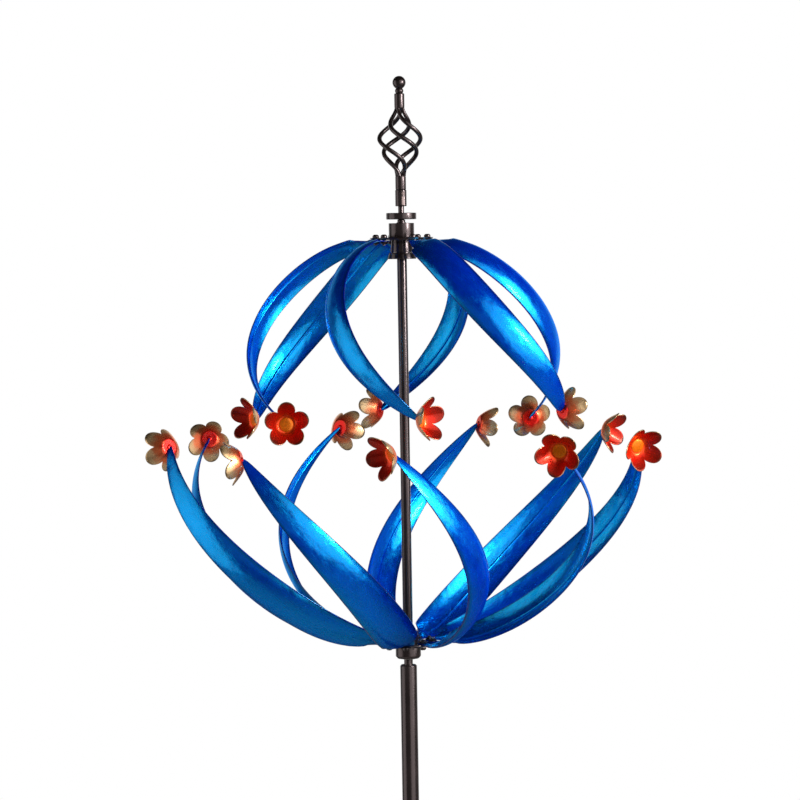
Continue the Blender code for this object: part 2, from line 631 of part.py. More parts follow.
def main():
    clear_scene()
    bronze = paint("dark bronze powder coat", (0.035, 0.027, 0.024), 0.38, 0.6)
    steel = paint("zinc plated steel", (0.45, 0.44, 0.42), 0.32, 0.9)
    blue = paint("candy blue lacquer", (0.010, 0.110, 0.620), 0.22, 0.7)
    red = paint("red and copper lacquer", (0.520, 0.060, 0.025), 0.30, 0.6)

    socket = build_foot(bronze)
    pole = build_poles(bronze, steel)
    collar, collar_z = build_shaft(bronze, steel)
    build_set_screws(steel, socket, pole, collar, collar_z)
    build_finial(bronze)
    flower = flower_mesh()
    for rotor in (UPPER, LOWER):
        build_rotor(rotor, bronze, steel, blue, red, flower)


main()
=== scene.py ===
"""Looks of the kinetic wind sculpture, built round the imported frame.

Metres, in the frame's own axes: +Z up, the rotors' axis on Z, the viewer on the -Y side. Every
leaf, flower and turned part is a finer piece that stands for the frame's solid, in its place.
"""

import math

import bmesh
import bpy
import numpy as np
from mathutils import Matrix, Vector


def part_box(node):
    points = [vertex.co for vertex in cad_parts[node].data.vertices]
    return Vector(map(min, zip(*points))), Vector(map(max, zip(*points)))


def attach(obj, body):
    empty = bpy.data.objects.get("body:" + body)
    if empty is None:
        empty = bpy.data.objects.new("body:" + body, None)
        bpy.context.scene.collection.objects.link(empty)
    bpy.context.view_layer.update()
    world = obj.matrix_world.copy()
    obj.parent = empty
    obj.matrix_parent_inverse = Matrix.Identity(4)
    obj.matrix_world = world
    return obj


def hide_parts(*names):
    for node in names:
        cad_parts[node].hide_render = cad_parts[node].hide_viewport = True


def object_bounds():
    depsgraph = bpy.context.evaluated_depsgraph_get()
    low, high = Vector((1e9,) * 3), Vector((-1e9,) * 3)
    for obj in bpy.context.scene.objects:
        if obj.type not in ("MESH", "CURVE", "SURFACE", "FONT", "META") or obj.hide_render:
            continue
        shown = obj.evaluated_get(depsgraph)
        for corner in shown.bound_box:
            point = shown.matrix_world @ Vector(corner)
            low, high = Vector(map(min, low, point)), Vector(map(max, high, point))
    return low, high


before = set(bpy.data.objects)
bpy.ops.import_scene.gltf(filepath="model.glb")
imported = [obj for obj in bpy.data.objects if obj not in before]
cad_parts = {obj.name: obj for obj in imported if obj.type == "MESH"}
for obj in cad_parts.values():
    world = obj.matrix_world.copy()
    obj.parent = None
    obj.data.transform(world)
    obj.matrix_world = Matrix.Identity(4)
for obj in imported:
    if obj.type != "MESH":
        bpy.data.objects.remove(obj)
CAD_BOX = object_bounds()

SHEET = 0.0012          # leaf sheet, and also flower sheet in the frame
PETAL_SHEET = 0.00096   # flower sheet here
GAP = 0.0003            # running clearance between neighbours in the frame
ROUND = 96              # sides of a turned piece

# The common line of each rotor's leaves as the frame's leaves have it, angles in degrees. Side is
# -1 where the leaves hang down from the hub and +1 where they rise.
LEAVES = {
    "upper": dict(
        side=-1, count=6, root_r=0.0550, reach=0.1406, height=0.2054, arc=105.3, arc_ease=1.33,
        height_power=0.773, sweep=45.8, sweep_ease=2.40, bank=(24.0, 41.0), width=0.0382,
        widest=0.49, fullness=0.51, root_width=0.0200, tab_width=0.0120),
    "lower": dict(
        side=+1, count=9, root_r=0.0589, reach=0.2188, height=0.2398, arc=92.0, arc_ease=2.20,
        height_power=0.774, sweep=38.0, sweep_ease=3.40, bank=(17.0, 50.0), width=0.0457,
        widest=0.52, fullness=0.69, root_width=0.0235, tab_width=0.0110),
}
TAB_INNER_R, TAB_FLAT_R = 0.0230, 0.0385    # the flat tab that is screwed to the flange
ROOT_STEP = 0.0030      # from the tab's level to the start of the leaf's curve
TIP_WIDTH = 0.0024
TIP_EASE = 5            # how late a leaf bends towards the place of its own flower
TIP_STANDOFF = 0.0016   # from the end of a leaf to the middle of a flower's eye
CAMBER = 0.31           # depth of a fully hollow leaf, as a share of half its width
ROOT_HOLLOW = 0.4       # share of the camber that a leaf has at its root
CROWN = 0.18            # share of the camber that lifts a leaf's middle instead of lowering its rims
RIM_TURN = 2.5          # how late a leaf turns down towards its rims; 2 is a plain arc
RIM_START = 0.96        # where the dark rim of painted shade starts, as a share of half the width
ROD_HALF, ROD_HEIGHT = 0.0016, 0.0017       # the rod welded along the hollow side of a leaf
OUTSIDE, INSIDE, RIM = range(3)             # a leaf's lacquers

ROTORS_LEVEL = 1.5      # the lamps are aimed at this height on the axis

PETALS = 5
FLOWER_R, FLOWER_EYE_R, PETAL_R = 0.0260, 0.0095, 0.0102
FLOWER_CUP = 0.0180     # how far the petals' ends stand in front of the flat eye
PETAL_CURL = 0.0016     # how much further the middle of a petal's end stands


# ---------------------------------------------------------------- node materials
class Nodes:
    """The node tree of a new material or world, with short calls for the nodes used here."""

    def __init__(self, name, world=False):
        self.owner = (bpy.data.worlds if world else bpy.data.materials).new(name)
        self.owner.use_nodes = True
        self.tree = self.owner.node_tree
        self.shader = self.tree.nodes["Background" if world else "Principled BSDF"]

    def set(self, **values):
        """Plain numbers and colours, straight on the shader's own sockets."""
        for name, value in values.items():
            socket = self.shader.inputs[name.replace("_", " ")]
            socket.default_value = (*value, 1.0) if isinstance(value, tuple) else value

    def link(self, output, socket):
        self.tree.links.new(output, socket)

    def add(self, kind, **inputs):
        node = self.tree.nodes.new("ShaderNode" + kind)
        for name, value in inputs.items():
            socket = node.inputs[name.replace("_", " ")]
            if isinstance(value, bpy.types.NodeSocket):
                self.link(value, socket)
            else:
                socket.default_value = value
        return node

    def attribute(self, name):
        node = self.add("Attribute")
        node.attribute_name = name
        return node.outputs["Fac"]

    def noise(self, scale, detail=3.0, stretch=(1, 1, 1), uv=False, roughness=0.5):
        """Noise on the object's own coordinates, or on the piece's grain map in metres."""
        place = self.add("TexCoord").outputs["UV" if uv else "Object"]
        mapping = self.add("Mapping", Vector=place, Scale=stretch)
        node = self.add("TexNoise", Vector=mapping.outputs["Vector"], Scale=scale, Detail=detail,
                        Roughness=roughness)
        return node.outputs["Fac"]

    def ramp(self, value, *stops):
        """Colour by value; each stop is (position, colour) and a colour may be one number."""
        node = self.add("ValToRGB", Fac=value)
        ramp = node.color_ramp
        ramp.interpolation = "EASE"
        while len(ramp.elements) < len(stops):
            ramp.elements.new(1.0)
        for element, (position, colour) in zip(ramp.elements, stops):
            element.position = position
            element.color = (*colour, 1.0) if isinstance(colour, tuple) else (colour,) * 3 + (1.0,)
        return node.outputs["Color"]

    def remap(self, value, low, high, new_low, new_high):
        """A straight line from low..high to new_low..new_high, held at both ends."""
        node = self.add("MapRange", Value=value)
        for name, number in zip(("From Min", "From Max", "To Min", "To Max"), (low, high, new_low, new_high)):
            node.inputs[name].default_value = number
        return node.outputs["Result"]

    def mix(self, share, first, second, blend="MIX"):
        node = self.add("Mix")
        node.data_type, node.blend_type = "RGBA", blend
        for socket, value in ((node.inputs[0], share), (node.inputs[6], first), (node.inputs[7], second)):
            if isinstance(value, bpy.types.NodeSocket):
                self.link(value, socket)
            else:
                socket.default_value = (*value, 1.0) if isinstance(value, tuple) else value
        return node.outputs[2]

    def bump(self, *layers):
        """Stacked bumps, each (height output, depth in metres, strength)."""
        normal = None
        for height, depth, strength in layers:
            node = self.add("Bump", Height=height, Distance=depth, Strength=strength)
            if normal:
                self.link(normal, node.inputs["Normal"])
            normal = node.outputs["Normal"]
        self.link(normal, self.shader.inputs["Normal"])

    def feed(self, name, output):
        self.link(output, self.shader.inputs[name])


def bronze_paint(name="bronze_powder_coat", colour=(0.0105, 0.0072, 0.0066)):
    """Espresso powder coat: a fine orange-peel skin, faintly uneven in colour and gloss."""
    nodes = Nodes(name)
    cloud = nodes.noise(22.0, detail=4.0)
    grain = nodes.noise(900.0, detail=2.0)
    darker, lighter = (tuple(share * part for part in colour) for share in (0.6, 1.9))
    base = nodes.ramp(cloud, (0.30, darker), (0.55, colour), (0.75, lighter))
    speck = nodes.remap(grain, 0.62, 0.78, 0.0, 0.30)
    nodes.feed("Base Color", nodes.mix(speck, base, (0.050, 0.036, 0.033)))
    nodes.feed("Roughness", nodes.remap(cloud, 0.3, 0.7, 0.16, 0.26))
    nodes.set(Metallic=0.0, IOR=1.5, Specular_IOR_Level=0.78, Specular_Tint=(1.0, 0.80, 0.80))
    nodes.bump((nodes.noise(420.0, detail=2.0), 0.00012, 0.5), (grain, 0.00003, 0.4))
    return nodes.owner


def zinc_steel():
    """Zinc-plated steel with turning marks round the axis and a light haze."""
    nodes = Nodes("zinc_plated_steel")
    rings = nodes.noise(650.0, detail=2.0, stretch=(0.06, 0.06, 4.0))
    haze = nodes.noise(60.0, detail=3.0)
    base = nodes.ramp(haze, (0.3, (0.40, 0.39, 0.36)), (0.7, (0.56, 0.55, 0.51)))
    nodes.feed("Base Color", nodes.mix(nodes.remap(rings, 0.4, 0.7, 0.0, 0.35), base, (0.30, 0.29, 0.27)))
    nodes.feed("Roughness", nodes.remap(rings, 0.3, 0.7, 0.22, 0.42))
    nodes.set(Metallic=0.95)
    nodes.bump((rings, 0.00004, 0.4))
    return nodes.owner


def weld_metal():
    """A weld bead under the paint: the same coat, rougher, on a rippled surface."""
    nodes = Nodes("painted_weld")
    ripple = nodes.noise(260.0, detail=4.0)
    nodes.feed("Base Color", nodes.ramp(ripple, (0.3, (0.016, 0.012, 0.011)), (0.7, (0.060, 0.046, 0.041))))
    nodes.feed("Roughness", nodes.remap(ripple, 0.3, 0.7, 0.30, 0.55))
    nodes.set(Metallic=0.5)
    nodes.bump((ripple, 0.0006, 0.8))
    return nodes.owner


def leaf_lacquer(name, root, middle, tip, edge, sheen):
    """Blue candy lacquer over brushed, faintly hammered sheet, darker at the root as painted shade near
    the hub. Edge is the darker colour towards the rims, where it is painted shade, and in the patches
    and in the strokes; sheen tints the reflection."""
    nodes = Nodes(name)
    along, across = nodes.attribute("along"), nodes.attribute("across")
    # The root colour is darker than the middle and the tip: painted shade near the hub.
    base = nodes.ramp(along, (0.0, root), (0.42, middle), (1.0, tip))
    cloud = nodes.noise(26.0, detail=4.0, stretch=(1.6, 0.7, 1.0), uv=True)
    strokes = nodes.noise(240.0, detail=3.0, stretch=(5.0, 0.35, 1.0), uv=True)
    hammer = nodes.noise(110.0, detail=2.0, stretch=(1.3, 0.7, 1.0), uv=True, roughness=0.4)
    base = nodes.mix(nodes.remap(cloud, 0.45, 0.75, 0.0, 0.55), base, edge)
    base = nodes.mix(nodes.remap(strokes, 0.52, 0.75, 0.0, 0.45), base, edge)
    # Fades to the edge colour towards the rims: painted shade.
    nodes.feed("Base Color", nodes.mix(nodes.remap(across, 0.78, 0.97, 0.0, 1.0), base, edge))
    nodes.feed("Roughness", nodes.remap(hammer, 0.3, 0.7, 0.18, 0.30))
    nodes.set(Metallic=0.0, IOR=3.5, Specular_IOR_Level=0.9, Specular_Tint=sheen)
    nodes.set(Coat_Weight=0.12, Coat_Roughness=0.04)
    grain = nodes.noise(1400.0, uv=True)
    nodes.bump((hammer, 0.0011, 0.50), (strokes, 0.00025, 0.40), (grain, 0.00002, 0.3))
    return nodes.owner


def rim_lacquer():
    """The leaves' rolled rims: a dark blue of painted shade, with a low specular level so that they hardly
    shine.
    """
    nodes = Nodes("blue_lacquer_rim")
    rim_shade_mottle = nodes.noise(90.0, detail=3.0)
    # Both colours are a dark blue of painted shade along the rims, mottled at random.
    nodes.feed("Base Color", nodes.ramp(rim_shade_mottle, (0.35, (0.0, 0.004, 0.15)), (0.65, (0.0, 0.010, 0.28))))
    nodes.feed("Roughness", nodes.remap(rim_shade_mottle, 0.3, 0.7, 0.22, 0.34))
    nodes.set(Metallic=0.0, IOR=3.5, Specular_IOR_Level=0.16, Specular_Tint=(0.006, 0.46, 0.96))
    nodes.set(Coat_Weight=0.2, Coat_Roughness=0.05)
    return nodes.owner


def petal_lacquer(name, heart, middle, end, rim_colour, metallic):
    """Red and copper lacquer that fades outwards from the eye."""
    nodes = Nodes(name)
    cloud = nodes.noise(160.0, detail=4.0)
    shifted = nodes.add("Math", Value=nodes.attribute("outwards"))
    shifted.operation = "ADD"
    nodes.link(nodes.remap(cloud, 0.3, 0.7, -0.07, 0.07), shifted.inputs[1])
    base = nodes.ramp(shifted.outputs[0], (0.28, heart), (0.58, middle), (0.86, end), (1.0, rim_colour))
    grain = nodes.noise(700.0, detail=3.0)
    nodes.feed("Base Color", nodes.mix(nodes.remap(grain, 0.55, 0.8, 0.0, 0.35), base, rim_colour))
    nodes.feed("Roughness", nodes.remap(cloud, 0.3, 0.7, 0.18, 0.32))
    nodes.set(Metallic=metallic, Specular_Tint=(1.0, 0.72, 0.55))
    nodes.set(Coat_Weight=0.18, Coat_Roughness=0.05)
    nodes.bump((cloud, 0.0004, 0.25), (grain, 0.00003, 0.4))
    return nodes.owner


# ---------------------------------------------------------------- mesh helpers
def add_piece(name, verts, faces, paint, nodes=(), body="stand", sharp=35.0, groups=None, facing=True):
    """A mesh piece that rides on a body and stands for the named frame nodes. Paint holds a slot name,
    which is not used, and the materials; groups says which of them each face has, and facing turns
    closed faces outwards."""
    slot, materials = paint
    mesh = bpy.data.meshes.new(name)
    mesh.from_pydata([tuple(vert) for vert in verts], [], faces)
    for material in materials:
        mesh.materials.append(material)
    if groups is not None:
        mesh.polygons.foreach_set("material_index", groups)
    if facing:
        bm = bmesh.new()
        bm.from_mesh(mesh)
        bmesh.ops.recalc_face_normals(bm, faces=bm.faces)
        bm.to_mesh(mesh)
        bm.free()
    mesh.shade_smooth()
    mesh.set_sharp_from_angle(angle=math.radians(sharp))
    item = bpy.data.objects.new(name, mesh)
    bpy.context.scene.collection.objects.link(item)
    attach(item, body)
    if nodes:
        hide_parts(*nodes)
    return item


def soften(points, radius, closed=True, steps=3):
    """The same outline with each corner rounded, by at most radius or a third of its sides."""
    count = len(points)
    points = [Vector(point) for point in points]
    result = []
    for index, corner in enumerate(points):
        if not closed and index in (0, count - 1):
            result.append(corner)
            continue
        before, after = points[index - 1], points[(index + 1) % count]
        back, ahead = before - corner, after - corner
        cut = min(radius, back.length / 3, ahead.length / 3)
        start, end = corner + back.normalized() * cut, corner + ahead.normalized() * cut
        for step in range(steps + 1):
            share = step / steps
            result.append(start * (1 - share) ** 2 + corner * 2 * share * (1 - share) + end * share ** 2)
    return result


def revolve(profile, closed, sides=ROUND, shape=None):
    """Vertices and faces of a profile of (radius, height) points turned round Z. shape, if given,
    is a function of (profile index, angle) that scales the radius, as for a hexagon."""
    verts, rings = [], []
    for index, (radius, height) in enumerate(profile):
        if radius < 1e-7:
            rings.append([len(verts)] * sides)
            verts.append(Vector((0, 0, height)))
            continue
        rings.append(list(range(len(verts), len(verts) + sides)))
        for side in range(sides):
            angle = 2 * math.pi * side / sides
            reach = radius * (shape(index, angle) if shape else 1.0)
            verts.append(Vector((reach * math.cos(angle), reach * math.sin(angle), height)))
    pairs = list(zip(rings, rings[1:]))
    if closed:
        pairs.append((rings[-1], rings[0]))
    faces = []
    for first, second in pairs:
        for side in range(sides):
            after = (side + 1) % sides
            corners = [first[side], second[side], second[after], first[after]]
            unique = list(dict.fromkeys(corners))
            if len(unique) > 2:
                faces.append(unique)
    return verts, faces


def turned(profile, edge, closed=False, sides=ROUND):
    """Vertices and faces of a turned part from its profile, with its corners rounded by edge."""
    return revolve(soften(profile, edge, closed), closed, sides)


def band(outer, inner, low, high):
    """Profile of a plain ring or tube."""
    return [(outer, high), (outer, low), (inner, low), (inner, high)]


def loft(rings, count):
    """Faces of a solid through several rings, each of count vertices, with both ends closed."""
    faces, last = [], (rings - 1) * count
    for start in range(0, last, count):
        for step in range(count):
            after = (step + 1) % count
            faces.append([start + step, start + after, start + count + after, start + count + step])
    return faces + [list(range(count))[::-1], list(range(last, last + count))]


def join(shapes):
    """Several (vertices, faces) as one."""
    verts, faces = [], []
    for more_verts, more_faces in shapes:
        faces += [[index + len(verts) for index in face] for face in more_faces]
        verts += more_verts
    return verts, faces


def moved(shape, matrix):
    """The same vertices and faces in another place."""
    verts, faces = shape
    return [matrix @ vert for vert in verts], faces


def lathe(name, profile, paint, nodes, body="stand", closed=True, edge=0.0005):
    """A turned piece in its place on the axis."""
    add_piece(name, *turned(profile, edge, closed), paint, nodes, body)


def extent(node):
    """Radius, lowest and highest level of a turned node of the frame."""
    low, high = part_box(node)
    return (high.x - low.x) / 2, low.z, high.z


def radial(angle):
    """Unit vector away from the axis."""
    return Vector((math.cos(angle), math.sin(angle), 0.0))


def smooth(value):
    """A soft step from 0 to 1."""
    value = min(max(value, 0.0), 1.0)
    return value * value * (3 - 2 * value)


def tube(line, radii, sides=14, squareness=0.05):
    """A closed bar swept along points; squareness flattens its round section."""
    verts = []
    across = (line[1] - line[0]).orthogonal().normalized()
    for index, point in enumerate(line):
        ahead = line[min(index + 1, len(line) - 1)] - line[max(index - 1, 0)]
        tangent = ahead.normalized()
        across = (across - across.dot(tangent) * tangent).normalized()
        other = tangent.cross(across)
        for side in range(sides):
            angle = 2 * math.pi * side / sides
            reach = radii[index] * (1 + squareness * math.cos(4 * angle))
            verts.append(point + across * reach * math.cos(angle) + other * reach * math.sin(angle))
    return verts, loft(len(line), sides)


def hexagon(angle):
    """Radius of a unit hexagon, measured to its corners, at that angle."""
    sector = math.pi / 3
    return math.cos(sector / 2) / math.cos(angle % sector - sector / 2)


# ---------------------------------------------------------------- leaves
def common_line(rotor, t, bend):
    """Radius, rise from the tab's level and angle of a leaf at t, as the frame's leaves run."""
    side, arc = rotor["side"], math.radians(rotor["arc"])
    turn = arc * t ** rotor["arc_ease"]
    radius = rotor["root_r"] + rotor["reach"] * math.sin(turn) / math.sin(min(arc, math.pi / 2))
    rise = ROOT_STEP + rotor["height"] * ((1 - math.cos(turn)) / (1 - math.cos(arc))) ** rotor["height_power"]
    angle = -side * math.radians(rotor["sweep"]) * t ** rotor["sweep_ease"]
    share = t ** TIP_EASE
    radius += share * bend[0]
    return radius, side * rise + share * bend[2], angle + share * bend[1] / radius


def leaf_width(rotor, t):
    """A lens, widest where the rotor says, plus a shoulder at the root."""
    widest, fullness = rotor["widest"], rotor["fullness"]
    taper = fullness * (1 - widest) / widest
    lens = (t / widest) ** fullness * ((1 - t) / (1 - widest)) ** taper
    return rotor["width"] * lens + rotor["root_width"] * (1 - t) ** 6 + TIP_WIDTH


def leaf_frame(rotor, t, bend, level):
    """Point, tangent and outward normal of the centreline of a leaf whose root is at azimuth 0."""
    step = 0.0005
    lines = [common_line(rotor, value, bend) for value in (max(t - step, 0.0), t, min(t + step, 1.0))]
    before, point, after = (
        radius * radial(angle) + Vector((0, 0, level + rise)) for radius, rise, angle in lines)
    tangent = (after - before).normalized()
    outward = radial(lines[1][2]) * abs(after.z - before.z)
    outward.z = -rotor["side"] * (lines[2][0] - lines[0][0])
    return point, tangent, (outward - outward.dot(tangent) * tangent).normalized()


def leaf_stations(rotor, bend, level):
    """Cross-sections from the tab to the tip: point, tangent, normal, width, hollow and t."""
    side, out = rotor["side"], Vector((1, 0, 0))
    up, root_width, tab = Vector((0, 0, -side)), leaf_width(rotor, 0.0), rotor["tab_width"]
    bank_start = math.radians(rotor["bank"][0])
    stations = []
    for share in (0.0, 0.02, 0.06, 0.14, 0.26, 0.45, 0.7, 1.0):    # the tab, with a round end
        radius = TAB_INNER_R + (TAB_FLAT_R - TAB_INNER_R) * share
        cap = math.sqrt(max(0.0, 1 - max(0.0, 1 - 3.2 * share) ** 2))
        stations.append((out * radius + Vector((0, 0, level)), out, up, tab * max(cap, 0.12), 0.0, 0.0))
    steps = 13
    for step in range(1, steps):                                    # from the tab to the root
        share = step / steps
        blend = smooth(share)
        shoulder = math.sqrt(1 - (1 - share) ** 2)
        radius = TAB_FLAT_R + (rotor["root_r"] - TAB_FLAT_R) * share
        normal = Matrix.Rotation(bank_start * blend, 3, out) @ up
        point = out * radius + Vector((0, 0, level + side * ROOT_STEP * blend))
        width = tab + (root_width - tab) * shoulder
        stations.append((point, out, normal, width, ROOT_HOLLOW * blend, 0.0))
    fine = np.linspace(0.0, 1.0, 500)
    path = np.array([leaf_frame(rotor, float(t), bend, level)[0] for t in fine])
    length = np.concatenate([[0.0], np.cumsum(np.linalg.norm(np.diff(path, axis=0), axis=1))])
    for reached in np.linspace(0.0, length[-1], 84):
        t = float(np.interp(reached, length, fine))
        point, tangent, outward = leaf_frame(rotor, t, bend, level)
        bank = math.radians(rotor["bank"][0] + (rotor["bank"][1] - rotor["bank"][0]) * t)
        normal = Matrix.Rotation(bank, 3, tangent) @ outward
        deepen, flatten = smooth(t / 0.15), smooth((t - 0.62) / 0.38)
        hollow = ROOT_HOLLOW + (1 - ROOT_HOLLOW) * deepen - 0.65 * flatten
        stations.append((point, tangent, normal, leaf_width(rotor, t), hollow, t))
    return stations


def leaf_shape(stations):
    """The sheet as one closed loft: convex side, rims, and a hollow side with its welded rod.
    Returns vertices, faces, material groups and, for each vertex, its (across, along, u, v)."""
    rod_rows = (-1.0, -0.75, -0.45, 0.0, 0.45, 0.75, 1.0)
    blade_rows = (0.16, 0.34, 0.52, 0.70, 0.86, RIM_START, 1.0)
    thick = SHEET / 2
    verts, marks = [], []
    travelled, before = 0.0, stations[0][0]
    for point, tangent, normal, width, hollow, t in stations:
        travelled += (point - before).length
        before = point
        half = width / 2
        sideways = tangent.cross(normal)
        ridge = min(ROD_HALF / half, 0.55)
        blade = [ridge + (1 - ridge) * value for value in blade_rows]
        rows = [-value for value in reversed(blade)] + [ridge * value for value in rod_rows] + blade
        rod = ROD_HEIGHT * smooth(t / 0.05) * min(1.0, half / (2 * ROD_HALF))
        roll = 1 + 0.45 * thick / half

        def place(across, lift):
            drop = CAMBER * hollow * half * (abs(across) ** RIM_TURN - CROWN)
            return point + sideways * (across * half) + normal * (lift - drop)

        ring = [(place(across, thick), across) for across in rows]
        ring.append((place(roll, 0.0), 1.0))
        for across in reversed(rows):
            swell = math.sqrt(max(0.0, 1 - (across / ridge) ** 2)) if abs(across) < ridge else 0.0
            ring.append((place(across, -thick - rod * swell), across))
        ring.append((place(-roll, 0.0), -1.0))
        loop = len(ring)
        for vert, across in ring:
            verts.append(vert)
            marks.append((abs(across), t, across * half, travelled))
    groups = []
    for step in range(loop):
        if min(marks[step][0], marks[(step + 1) % loop][0]) >= RIM_START:
            groups.append(RIM)
        else:
            groups.append(OUTSIDE if step < len(rows) else INSIDE)
    groups = groups * (len(stations) - 1) + [OUTSIDE, OUTSIDE]
    return verts, loft(len(stations), loop), groups, marks


def mark(mesh, name, values):
    """Stores a number for each vertex, for the materials."""
    layer = mesh.attributes.new(name, "FLOAT", "POINT")
    layer.data.foreach_set("value", np.array(values, np.float32))


def mark_leaf(mesh, marks):
    """Stores how far across and along each vertex lies, and a grain map in metres."""
    mark(mesh, "across", [values[0] for values in marks])
    mark(mesh, "along", [values[1] for values in marks])
    grain = mesh.uv_layers.new(name="grain")
    corners = np.empty(len(mesh.loops), np.int32)
    mesh.loops.foreach_get("vertex_index", corners)
    places = np.array([values[2:] for values in marks], np.float32)[corners]
    grain.data.foreach_set("uv", places.ravel())


def node_points(node):
    """The frame node's corners, each once."""
    points = np.array([vert.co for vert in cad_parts[node].data.vertices], float)
    return np.unique(points.round(6), axis=0)


def tab_place(node):
    """Azimuth of a leaf's flat tab, and the levels of its two faces."""
    points = node_points(node)
    tab = points[np.hypot(points[:, 0], points[:, 1]) < TAB_FLAT_R - 0.001]
    return math.atan2(tab[:, 1].mean(), tab[:, 0].mean()), float(tab[:, 2].min()), float(tab[:, 2].max())


def flower_place(node):
    """Matrix that takes a flower opening along +Z, its first petal on +X, to the frame's flower."""
    points = node_points(node)
    centre = points.mean(axis=0)
    _, _, axes = np.linalg.svd(points - centre, full_matrices=False)
    axis = axes[2]
    depth = (points - centre) @ axis
    reach = np.linalg.norm((points - centre) - np.outer(depth, axis), axis=1)
    if np.corrcoef(depth, reach)[0, 1] < 0:
        axis, depth = -axis, -depth
    petal = (points - centre - np.outer(depth, axis))[reach.argmax()]
    petal = Vector(petal / np.linalg.norm(petal))
    axis = Vector(axis)
    eye = Vector(centre) + axis * (float(depth.min()) + SHEET / 2)
    turn = Matrix((petal, axis.cross(petal), axis)).transposed().to_4x4()
    return Matrix.Translation(eye) @ turn


def leaf_bend(rotor, root, level, tip):
    """How far the tip of one leaf lies out, round and up from the rotor's common line."""
    radius, rise, angle = common_line(rotor, 1.0, (0, 0, 0))
    reach = math.hypot(tip.x, tip.y)
    swing = (math.atan2(tip.y, tip.x) - root - angle + math.pi) % (2 * math.pi) - math.pi
    return reach - radius, swing * reach, tip.z - level - rise


def build_leaf(name, index, lacquers):
    """A leaf in the place of the frame's own: its root from the tab, its tip from the flower.
    Returns the flower's place."""
    rotor, body, node = LEAVES[name], name + "_rotor", f"{name}_leaf_{index}"
    root, low, high = tab_place(node)
    level = (low + high) / 2
    flower = flower_place(f"{name}_flower_{index}")
    tip = flower @ Vector((0, 0, -TIP_STANDOFF))
    bend = leaf_bend(rotor, root, level, tip)
    verts, faces, lacquer_of, marks = leaf_shape(leaf_stations(rotor, bend, level))
    spin = Matrix.Rotation(root, 4, "Z")
    item = add_piece(f"{name}_blade_{index}", [spin @ vert for vert in verts], faces, lacquers, [node],
                     body, sharp=50.0, groups=lacquer_of)
    mark_leaf(item.data, marks)
    return flower


# ---------------------------------------------------------------- flowers
def petal_edge(azimuth):
    """Reach of the flower's rim: each petal is round, and they meet in sharp notches."""
    sector = 2 * math.pi / PETALS
    angle = (azimuth + sector / 2) % sector - sector / 2
    middle = FLOWER_R - PETAL_R
    return middle * math.cos(angle) + math.sqrt(PETAL_R ** 2 - (middle * math.sin(angle)) ** 2)


def flower_sheet():
    """The stamped sheet of a flower: its vertices, its faces, and each vertex's share of the reach."""
    around, steps = PETALS * 20, 12
    verts, faces, reach = [Vector((0, 0, 0))], [], [0.0]
    for share in (0.5, 0.85):
        for step in range(around):
            verts.append(share * FLOWER_EYE_R * radial(2 * math.pi * step / around))
            reach.append(share * FLOWER_EYE_R / FLOWER_R)
    for ring in range(steps + 1):
        for step in range(around):
            azimuth = 2 * math.pi * step / around
            radius = FLOWER_EYE_R + (petal_edge(azimuth) - FLOWER_EYE_R) * ring / steps
            climb = (radius - FLOWER_EYE_R) / (FLOWER_R - FLOWER_EYE_R)
            curl = PETAL_CURL * climb * math.sin(PETALS * azimuth / 2) ** 2
            verts.append(radius * radial(azimuth) + Vector((0, 0, FLOWER_CUP * climb ** 1.35 + curl)))
            reach.append(radius / FLOWER_R)
    for step in range(around):
        faces.append([0, 1 + step, 1 + (step + 1) % around])
    for ring in range(steps + 2):
        start, end = 1 + ring * around, 1 + (ring + 1) * around
        for step in range(around):
            after = (step + 1) % around
            faces.append([start + step, end + step, end + after, start + after])
    return verts, faces, reach


def build_flower(name, index, place, petals, eye, rivet, sheet):
    """Petals, with a domed eye in front and a rivet behind, where the leaf's tip is welded."""
    body, node = name + "_rotor", f"{name}_flower_{index}"
    verts, faces, reach = sheet
    item = add_piece(f"{name}_petals_{index}", [place @ vert for vert in verts], faces, petals, [node],
                     body, sharp=60.0, facing=False)
    mark(item.data, "outwards", reach)
    solid = item.modifiers.new("sheet", "SOLIDIFY")
    solid.thickness = PETAL_SHEET
    solid.offset = 0.0
    solid.use_even_offset = True
    solid.material_offset = 1
    solid.material_offset_rim = 1
    face = PETAL_SHEET / 2
    dome = turned([
        (0.0, face + 0.0013), (0.0052, face + 0.0010), (0.0078, face + 0.0006), (0.0084, face - 0.0001),
        (0.0, face - 0.0001)], 0.0005, sides=48)
    button = turned([
        (0.0, -face + 0.0002), (0.0034, -face + 0.0002), (0.0034, -face - 0.0007), (0.0021, -face - 0.0013),
        (0.0, -face - 0.0016)], 0.0004, sides=32)
    for part, shape, paint in (("eye", dome, eye), ("rivet", button, rivet)):
        bead = add_piece(f"{name}_flower_{part}_{index}", *moved(shape, place), paint, body=body)
        mark(bead.data, "outwards", [0.1] * len(bead.data.vertices))


